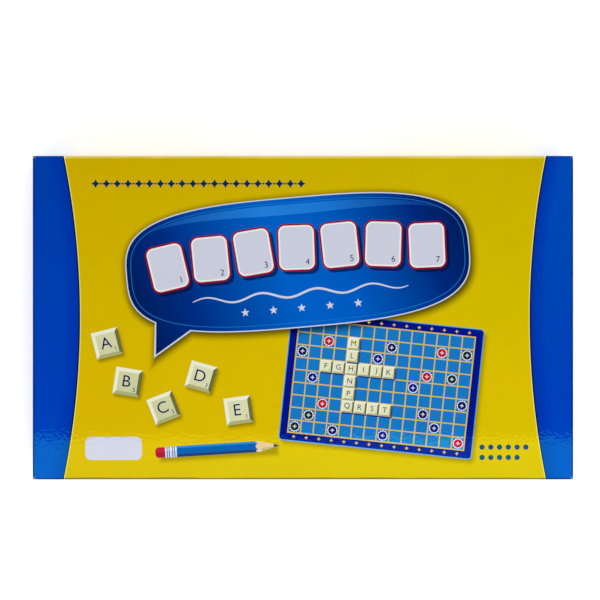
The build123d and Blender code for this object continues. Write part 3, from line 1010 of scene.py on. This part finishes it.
def sheet_print():
    """The pictured squared sheet: border, grid lines, cells, bonus marks and crossing rows of tiles."""
    width, height = sheet_size
    cells = grid(sheet_columns, sheet_rows, sheet_cell)
    side = sheet_cell - sheet_line
    sheet = Sheet()
    sheet.lay(sheet_edge, round_rectangle(width + 1.6, height + 1.6, 3.2))
    sheet.lay(sheet_blue, round_rectangle(width, height, 2.4))
    sheet.lay(sheet_yellow, rectangle(sheet_columns * sheet_cell + 1.0, sheet_rows * sheet_cell + 1.0))
    sheet.lay(sheet_sky, *(rectangle(side, side, middle) for middle in cells.values()))
    radius = sheet_cell * 0.44
    for color, places in sheet_marks:
        for middle in (cells[place] for place in places):
            sheet.lay(ink.white, star(radius, radius * 0.82, 12, middle))
            sheet.lay(color, disc(radius * 0.76, middle))
            sheet.lay(ink.lavender, star(radius * 0.42, radius * 0.18, 4, middle))
    tile = sheet_cell * 0.98
    for column, row, letter in sheet_tiles:
        shadow = round_rectangle(tile, tile, tile * 0.08, (tile * 0.07, -tile * 0.1))
        sheet.lay(sheet_blue, *turned([shadow], cells[column, row]))
        sheet += tile_print(tile, letter).placed(cells[column, row])
    margin = (height - sheet_border) / 2
    for up in (-margin, margin):
        sheet.lay(ink.yellow, *row_of(sheet_columns, sheet_cell, (cells[0, 0][0], up), star(1.5, 0.7, 4)))
    return sheet.placed(sheet_centre, sheet_turn)


def cover_print():
    """Everything printed over the cover's ground, in painting order."""
    sheet = ground_print()
    sheet += sheet_print() + bubble_print()
    for letter, centre, angle in loose_tiles:
        sheet += tile_print(loose_tile, letter).placed(centre, math.radians(angle))
    sheet += pencil_print()
    sheet.lay(ink.caption, *row_of(20, sparkle_pitch, (-161.0, 104.0), star(3.4, 1.7, 4)))
    sheet.lay(ink.caption, *row_of(19, sparkle_pitch, (-156.8, 104.0), disc(0.8, steps=8)))
    for count, up in ((6, -100.5), (5, -108.5)):
        sheet.lay(ink.caption, *row_of(count, 6.8, (139.0, up), disc(2.1, steps=16)))
    sheet.lay(ink.lavender, round_rectangle(44.0, 18.0, 4.6, badge_centre))
    return sheet


print_film("cover_print", cover_print(), over((0.0, 0.0, lid_high.z)), "lid")


# Small prints round the lid's walls: across runs along the wall and up from its middle

wall_pad_pitch = 17.6
wall_star_pitch = 15.0


def long_wall_print(view):
    """A blue strip of blank pads between two rows of sparkles."""
    sheet = wall_ground_print(view)
    sheet.lay(ink.lavender, round_rectangle(139.0, 25.0, 12.0))
    sheet.lay(ink.band, round_rectangle(137.0, 23.0, 11.0))
    sheet.lay(ink.sky, round_rectangle(134.6, 20.6, 9.8), round_rectangle(134.0, 20.0, 9.5))
    sizes = ((13.4, 16.4, 3.0), (12.3, 15.3, 2.4), (11.2, 14.2, 1.9))
    for number in range(1, pad_count + 1):
        middle = ((number - (pad_count + 1) / 2) * wall_pad_pitch, 0.0)
        angle = math.radians(4.0 if number % 2 else -4.0)
        sheet += pad_print(number, sizes, 2.4, (3.6, -4.8)).placed(middle, angle)
    for side in (-1, 1):
        sheet.lay(ink.navy, *row_of(9, side * sparkle_pitch, (side * 84.0, 0.0), star(3.2, 1.7, 4)))
        sheet.lay(ink.navy, *row_of(8, side * sparkle_pitch, (side * 88.2, 0.0), disc(0.7, steps=8)))
    return sheet


def end_wall_print():
    """A row of pale stars on the blue ends, the middle one larger."""
    sheet = Sheet()
    sheet.lay(cover_bands, rectangle(2 * (lid_half_width - ground_inset), lid_wall_height - 2 * ground_inset))
    sheet.lay(ink.lavender, star(5.2, 2.3, 5))
    for side in (-wall_star_pitch, wall_star_pitch):
        sheet.lay(ink.lavender, *row_of(4, side, (side, 0.0), star(3.6, 1.6, 5)))
    return sheet


for wall, sheet, x_sign, y_sign in (("front", long_wall_print(1), 0, -1), ("back", long_wall_print(-1), 0, 1),
                                    ("left", end_wall_print(), -1, 0), ("right", end_wall_print(), 1, 0)):
    face = (x_sign * lid_half_length * MM, y_sign * lid_half_width * MM, (lid_low.z + lid_high.z) / 2)
    on_wall = over(face, (-y_sign, x_sign, 0), (0, 0, 1), (x_sign, y_sign, 0))
    print_film(f"cover_print_{wall}", sheet, on_wall, "lid")


# Finishes of the box, the board, the racks and the loose pieces

tile_side = 19.6
tile_pitch = 20.0
racks = [f"rack_{number}" for number in range(1, 5)]
pointers = {f"{rack}_{name}": rack for rack in racks for name in ("hundreds", "tens", "units")}


def tile_material():
    """The tiles' cream plastic, each tile of a slightly different batch."""
    material, graph = new_material("tile_cream")
    x, y, z = graph.parts(graph.place())
    low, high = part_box("tiles_lower_layer")
    pitch = tile_pitch * MM
    upper = graph.remap(z, high.z, high.z + 0.02 * MM)
    column = graph.math("FLOOR", x / pitch)
    row = graph.math("FLOOR", (y - (upper * (pitch / 2) + ((low.y + high.y) / 2 - pitch / 2))) / pitch)
    tile = graph.node("ShaderNodeCombineXYZ", "Vector", x=column, y=row, z=upper)
    batch = graph.node("ShaderNodeTexWhiteNoise", "Value", vector=tile)
    color = graph.ramp(batch, [(0.0, rgb(214, 216, 172)), (0.5, rgb(222, 224, 184)),
                               (1.0, rgb(230, 229, 196))])
    moulded(graph, color, 0.33, subsurface_weight=0.06, subsurface_scale=0.001)
    return material


def leatherette_material():
    """Embossed covering paper on the board's back: small rounded pebbles with shiny tops."""
    material, graph = new_material("navy_leatherette")
    gap = graph.node("ShaderNodeTexVoronoi", "Distance", {"feature": "DISTANCE_TO_EDGE"},
                     vector=graph.place(), scale=620.0)
    pebble = graph.remap(gap, 0.0, 0.22)
    # The colour is darker in the gaps between the pebbles and lighter on their tops.
    color = graph.mix(pebble, rgb(8, 16, 44), rgb(16, 34, 84))
    surface(graph, color, graph.remap(pebble, 0.0, 1.0, 0.62, 0.4), pebble, 0.06)
    return material


def base_wrap_material():
    """The base's wrap: plain blue under the film, rubbed at the rim and the corners, with painted shade and a
    painted highlight along the rim.
    """
    material, graph = new_material("base_blue")
    _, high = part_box("base_wrap")
    blue = rgb(0, 62, 160)
    inked = graph.group(ink_grain, color=blue, amount=0.05).color
    wrapped(graph, inked, high.x / MM, high.y / MM, high.z, blue)
    return material


pointer_blue = plastic("pointer_light_blue", rgb(74, 158, 226), 0.3)
finishes = (
    (cover_ground, "lid_print", ["lid_wrap"]),
    (base_wrap_material(), "base_print", ["base_wrap"]),
    (paper("greyboard", rgb(158, 150, 136), 0.1, 0.45, 0.9, 0.05), "greyboard", ["lid_board", "base_board"]),
    (paper("stay_kraft", rgb(176, 140, 98), 0.08, 0.3), "stay_paper",
     ["lid_corner_stays", "base_corner_stays"]),
    (paper("insert_white", rgb(226, 224, 216), 0.05, 0.1, 0.7, 0.02), "insert_card", ["insert_card"]),
    (paper("leaflet_white", rgb(236, 235, 228), 0.02, 0.0, 0.75, 0.01), "leaflet_paper", ["rules_leaflet"]),
    (paper("board_core_grey", rgb(150, 144, 134), 0.1, 0.4, 0.9, 0.05), "board_core",
     ["board_core_lower", "board_core_upper"]),
    (leatherette_material(), "board_back_paper", ["back_paper_lower", "back_paper_upper"]),
    (printed("board_blue", deep_blue), "board_print", ["play_sheet_lower", "play_sheet_upper"]),
    (tile_material(), "tile_plastic", ["tiles_lower_layer", "tiles_upper_layer"]),
    (plastic("rack_blue", rgb(0, 108, 198), 0.26), "rack_plastic", racks),
    (pointer_blue, "pointer_plastic", [f"{pointer}_pointer" for pointer in pointers]),
)
for finish, material_slot, nodes in finishes:
    for node in nodes:
        piece = frame["nodes"][node]
        piece.data.materials.clear()
        piece.data.materials.append(finish)


# Prints on the playing board, folded face in: across and up run in the plane of the open board

board_cells = 15
board_cell = 22.0
board_line = 1.0
board_number = 4.4
# A bonus mark's number and ink, by the square of its distance from the middle in cells
board_marks = {8: ("2", ink.sky), 13: ("2", ink.band), 25: ("3", ink.bright_red), 40: ("2", ink.navy),
               65: ("3", ink.green_black), 72: ("4", ink.red)}
fold_margin = 0.2
fold_line = next(Vector(joint["pos_m"]) for joint in frame["joints"] if joint["name"] == "board_unfold")


def board_print():
    """The whole open board: margins with plain numbers, and squares with toothed bonus marks."""
    low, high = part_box("play_sheet_lower")
    length, depth = (high.x - low.x) / MM, 2 * (high.y - fold_line.y) / MM
    span = board_cells * board_cell
    sheet = Sheet()
    sheet.lay(printed("board_ground", deep_blue), round_rectangle(length - 0.2, depth - 0.2, 1.9))
    for inset, line in ((4.0, 0.8), (6.0, 0.3)):
        sheet.lay(ink.yellow, *(round_rectangle(length - 2 * far, depth - 2 * far, radius)
                                for far, radius in ((inset, 3.0), (inset + line, 3.0 - line))))
    for color, border in ((ink.white, 4.4), (ink.band, 3.2), (ink.yellow, board_line)):
        sheet.lay(color, rectangle(span + border, span + border))
    cells = grid(board_cells, board_cells, board_cell)
    side = board_cell - board_line
    sheet.lay(printed("board_square", rgb(58, 150, 210)),
              *(rectangle(side, side, middle) for middle in cells.values()))
    for x, y in cells.values():
        number, color = board_marks.get(round((x * x + y * y) / board_cell ** 2), (None, None))
        if number:
            sheet.lay(ink.white, star(9.4, 8.0, 20, (x, y)))
            sheet.lay(color, disc(7.4, (x, y), 28))
            sheet.lay(ink.white, disc(4.9, (x, y), 24))
            sheet.lay(color, *character(number, 5.6, (x, y)))
    sheet.lay(ink.white, star(9.8, 5.0, 8))
    sheet.lay(ink.bright_red, star(8.4, 4.2, 8))
    sheet.lay(ink.yellow, disc(3.2))
    beside, beyond = span / 2 + 12.5, span / 2 + 11.5
    for index in range(board_cells):
        along = cells[index, 0][0]
        for edge in (-1, 1):
            for middle in ((along, edge * beyond), (edge * beside, -along)):
                sheet.lay(ink.white, *character(str(index + 1), board_number, middle))
            if index not in (6, 7, board_cells - 1):
                sheet.lay(ink.yellow, star(2.6, 1.2, 4, (edge * beside, along + board_cell / 2)))
    return sheet


def print_board():
    """Lays each half's share of the print on its playing face, with what is past the fold cut away."""
    whole = board_print()
    lower_play, upper_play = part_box("play_sheet_lower")[1].z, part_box("play_sheet_upper")[0].z
    for half, side, height in (("lower", 1, lower_play), ("upper", -1, upper_play)):
        past_fold = rectangle(500.0, 300.0, (0.0, -side * (150.0 - fold_margin)))
        on_face = over((0.0, fold_line.y, height), up=(0, side, 0), out=(0, 0, side))
        print_film(f"board_print_{half}", whole + [(None, [past_fold])], on_face, f"board_{half}_half")


print_board()


# Letters and numbers on the hundred tiles

tile_columns = 20
# The height of a tile's letter and number, and where each stands on the tile
tile_letter = 8.4, (-0.6, 0.5)
tile_number = 2.9, (5.3, -5.0)
letter_ink = plastic("letter_ink", rgb(12, 18, 74), 0.45)


def print_letters():
    """Draws the bag once with a fixed seed, and prints both layers of tiles, each turned as it lies."""
    draw = random.Random(11)
    bag = [letter for letter, count in letter_counts.items() for _ in range(count)]
    draw.shuffle(bag)
    turns = [draw.choice((0, 0, 0, 1, 2, 2, 3)) for _ in bag]
    drawn = iter(zip(bag, turns))
    for layer, rows in (("lower", 3), ("upper", 2)):
        low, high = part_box(f"tiles_{layer}_layer")
        cells = grid(tile_columns, rows, ((high.x - low.x) / MM - tile_side) / (tile_columns - 1))
        sheet = Sheet()
        for row in range(rows):
            for column in range(tile_columns):
                letter, turn = next(drawn)
                if letter:
                    marks = character(letter, *tile_letter)
                    marks += character(letter_number(letter), *tile_number)
                    sheet.lay(letter_ink, *turned(marks, cells[column, row], turn * math.pi / 2))
        print_film(f"tile_letters_{layer}", sheet, over_top(f"tiles_{layer}_layer"), "letter_tiles",
                   0.04)


print_letters()


# Scales on the racks' decks: ticks and the digits 0 to 9 over each slot

deck_middle = (21.7255, 25.135)
deck_slope = math.radians(36.0)
slot_pitch = 65.3
slot_length = 54.9
slot_height = 4.4
slot_rise = 0.6
mark_pitch = 5.7
scale_rise = -1.05
tick_rise, digit_rise, value_rise = 3.3, 4.65, -6.75
digit_height, value_height = 1.6, 1.4
slot_margin = 0.3
scale_navy = plastic("scale_navy", rgb(6, 18, 66), 0.34)
scale_white = plastic("scale_white", rgb(232, 236, 240), 0.4)


def scale_print():
    """A dark strip with three slots cut out of it, their digits, ticks and place values."""
    sheet = Sheet()
    sheet.lay(scale_navy, round_rectangle(193.0, 14.4, 1.0, (0.0, scale_rise)))
    sheet.lay(scale_white, round_rectangle(191.6, 13.8, 0.8, (0.0, scale_rise)),
              round_rectangle(191.3, 13.5, 0.65, (0.0, scale_rise)))
    for place, value in enumerate(("100", "10", "1")):
        centre = (place - 1) * slot_pitch
        for mark in range(10):
            across = centre + (mark - 4.5) * mark_pitch
            sheet.lay(scale_white, rectangle(0.35, 0.8, (across, tick_rise)))
            sheet.lay(scale_white, *character(str(mark), digit_height, (across, digit_rise)))
        sheet.lay(scale_white, *character(value, value_height, (centre, value_rise)))
        sheet.lay(None, rectangle(slot_length + slot_margin, slot_height + slot_margin, (centre, slot_rise)))
    return sheet


def deck_point(rack, node):
    """The point of a rack's deck over the middle of one of its nodes."""
    rack_low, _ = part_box(rack)
    low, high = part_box(node)
    return ((low.x + high.x) / 2, rack_low.y + deck_middle[0] * MM, rack_low.z + deck_middle[1] * MM)


def print_scales():
    """Lays the same scale on each rack's deck."""
    sheet = scale_print()
    rise, run = math.sin(deck_slope), math.cos(deck_slope)
    for rack in racks:
        on_deck = over(deck_point(rack, rack), up=(0, run, rise), out=(0, -rise, run))
        print_film(f"{rack}_scale", sheet, on_deck, rack)


print_scales()


# Moulded finger ribs on the pointers, in the plane of the deck

first_rib_rise = -3.1
plate_top = 1.35


def rib_row_tree():
    """Geometry nodes: a row of half-sunk round ribs that grow shorter one after another."""
    tree = bpy.data.node_groups.new("rib_row", "GeometryNodeTree")
    sockets = {"Count": ("Int", 5), "Pitch": ("Float", 0.9 * MM), "First Length": ("Float", 4.0 * MM),
               "Last Length": ("Float", 2.0 * MM), "Width": ("Float", 0.4 * MM), "Rise": ("Float", 0.25 * MM),
               "Material": ("Material", None)}
    identifiers = {}
    for name, (kind, default) in sockets.items():
        socket = tree.interface.new_socket(name, in_out="INPUT", socket_type=f"NodeSocket{kind}")
        identifiers[name] = socket.identifier
        if default is not None:
            socket.default_value = default
    tree.interface.new_socket("Geometry", in_out="OUTPUT", socket_type="NodeSocketGeometry")
    graph = Graph(tree)
    outputs = graph.node("NodeGroupInput").outputs
    given = {name: Signal(graph, outputs[name]) for name in sockets}
    step = graph.node("ShaderNodeCombineXYZ", "Vector", y=given["Pitch"])
    row = graph.node("GeometryNodeMeshLine", "Mesh", count=given["Count"], offset=step)
    share = graph.node("GeometryNodeInputIndex", "Index") / (given["Count"] - 1.0)
    length = share * (given["Last Length"] - given["First Length"]) + given["First Length"]
    size = graph.node("ShaderNodeCombineXYZ", "Vector", x=length, y=given["Width"], z=given["Rise"] * 2.0)
    core = graph.node("GeometryNodeCurvePrimitiveLine", "Curve", start=(-0.5, 0.0, 0.0), end=(0.5, 0.0, 0.0))
    rim = graph.node("GeometryNodeCurvePrimitiveCircle", "Curve", resolution=10, radius=0.5)
    rib = graph.node("GeometryNodeCurveToMesh", "Mesh", curve=core, profile_curve=rim, fill_caps=True)
    placed = graph.node("GeometryNodeInstanceOnPoints", "Instances", points=row, instance=rib, scale=size)
    real = graph.node("GeometryNodeRealizeInstances", "Geometry", geometry=placed)
    coated = graph.node("GeometryNodeSetMaterial", "Geometry", geometry=real, material=given["Material"])
    graph.node("NodeGroupOutput", geometry=coated)
    return tree, identifiers


def pointer_ribs():
    """Grows the ribs once and lays a copy on every pointer."""
    tree, identifiers = rib_row_tree()
    source = add_object("rib_source", bpy.data.meshes.new("rib_source"))
    modifier = source.modifiers.new("ribs", "NODES")
    modifier.node_group = tree
    modifier[identifiers["Material"]] = pointer_blue
    bpy.context.view_layer.update()
    grown = bpy.data.meshes.new_from_object(source.evaluated_get(bpy.context.evaluated_depsgraph_get()))
    bpy.data.objects.remove(source)
    on_plate = Matrix.Translation((0.0, first_rib_rise * MM, plate_top * MM))
    for pointer, rack in pointers.items():
        on_deck = Matrix.Translation(deck_point(rack, f"{pointer}_pointer"))
        mesh = grown.copy()
        mesh.transform(on_deck @ Matrix.Rotation(deck_slope, 4, "X") @ on_plate)
        piece = add_object(f"{pointer}_ribs", mesh)
        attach(piece, f"{pointer}_pointer")


pointer_ribs()


# Print on the leaflet

leaflet_blue = paper("leaflet_blue", rgb(20, 78, 168), 0.03, 0.0, 0.7, 0.01)
leaflet_pale = paper("leaflet_pale", rgb(232, 232, 226), 0.02, 0.0, 0.75, 0.01)
leaflet_grey = paper("leaflet_rule", rgb(120, 124, 134), 0.03, 0.0, 0.75, 0.01)
figure_middle = (-62.0, -18.0)
figure_cell, figure_pitch = 8.2, 8.9
rule_length, rule_pitch = 108.0, 5.6


def leaflet_print():
    """A plain cover: a blue panel with a star over it, a squared figure and ruled lines."""
    sheet = Sheet()
    sheet.lay(leaflet_blue, round_rectangle(196.0, 30.0, 3.0, (0.0, 52.0)))
    sheet.lay(leaflet_pale, star(9.0, 4.2, 5, (0.0, 51.4)))
    sheet.lay(leaflet_blue, rectangle(63.0, 63.0, figure_middle))
    places = [(column, row) for column in range(-3, 4) for row in range(-3, 4) if (column * row) % 3 != 2]
    for column, row in places:
        middle = moved(figure_middle, (figure_pitch * column, figure_pitch * row))
        sheet.lay(leaflet_pale, rectangle(figure_cell, figure_cell, middle))
    for line in range(14):
        short = 26.0 if line % 4 == 3 else 0.0
        middle = (38.0 - short / 2, 20.0 - rule_pitch * line)
        sheet.lay(leaflet_grey, rectangle(rule_length - short, 1.1, middle))
    return sheet


print_film("leaflet_print", leaflet_print(), over_top("rules_leaflet"), "leaflet")


# Room, lamps and camera

white = (1.0, 1.0, 1.0)
fill_light = 0.45
floor_lift = 0.4
flag_height = 1.4
flag_edge = -0.224


def light_path(graph):
    """The kinds of ray, by name."""
    outputs = graph.node("ShaderNodeLightPath").outputs
    return {name: Signal(graph, outputs[f"Is {name} Ray"]) for name in ("Camera", "Glossy", "Transmission")}


def make_world():
    """White to the camera and to gloss, and a softer fill on everything else."""
    world = bpy.data.worlds.new("studio")
    world.use_nodes = True
    world.node_tree.nodes.clear()
    graph = Graph(world.node_tree)
    path = light_path(graph)
    seen = graph.most(path["Camera"], graph.most(path["Glossy"], path["Transmission"]))
    strength = graph.remap(seen, 0.0, 1.0, fill_light, 1.0)
    background = graph.node("ShaderNodeBackground", "Background", color=white, strength=strength)
    graph.node("ShaderNodeOutputWorld", surface=background)
    bpy.context.scene.world = world


def make_floor():
    """A pale table that reads as white to the camera and keeps the box's shadow."""
    material, graph = new_material("pale_table")
    grain = graph.remap(graph.noise(graph.place(), 30.0, 3.0), 0.3, 0.7, 0.9, 0.93)
    color = graph.node("ShaderNodeCombineColor", "Color", red=grain, green=grain, blue=grain)
    shader = graph.node("ShaderNodeBsdfPrincipled", "BSDF", base_color=color, roughness=0.6,
                        emission_color=white, emission_strength=light_path(graph)["Camera"] * floor_lift)
    graph.node("ShaderNodeOutputMaterial", surface=shader)
    plain_plane("table", (-6.0, -6.0), (6.0, 6.0), 0.0, material)


def make_flag():
    """A black card overhead, seen only in gloss, whose near edge shows across the lid's laminate."""
    material, graph = new_material("flag_black")
    shader = graph.node("ShaderNodeBsdfDiffuse", "BSDF", color=(0.0, 0.0, 0.0))
    graph.node("ShaderNodeOutputMaterial", surface=shader)
    flag = plain_plane("flag", (-1.5, flag_edge), (1.5, 3.0), flag_height, material)
    for ray in ("camera", "diffuse", "shadow", "transmission", "volume_scatter"):
        setattr(flag, f"visible_{ray}", False)


make_world()
make_floor()
make_flag()
make_lamp("overhead", (0.1, 0.35, 2.3), size=1.6, watts=12.0, aim=(0.1, 0.35, 0.0))
make_lamp("front", (0.25, -1.1, 0.95), size=0.9, watts=9.5, in_gloss=False)
make_lamp("back", (-0.2, 2.2, 0.9), size=1.2, watts=9.0)
make_camera()

bpy.context.scene.view_settings.view_transform = "Standard"
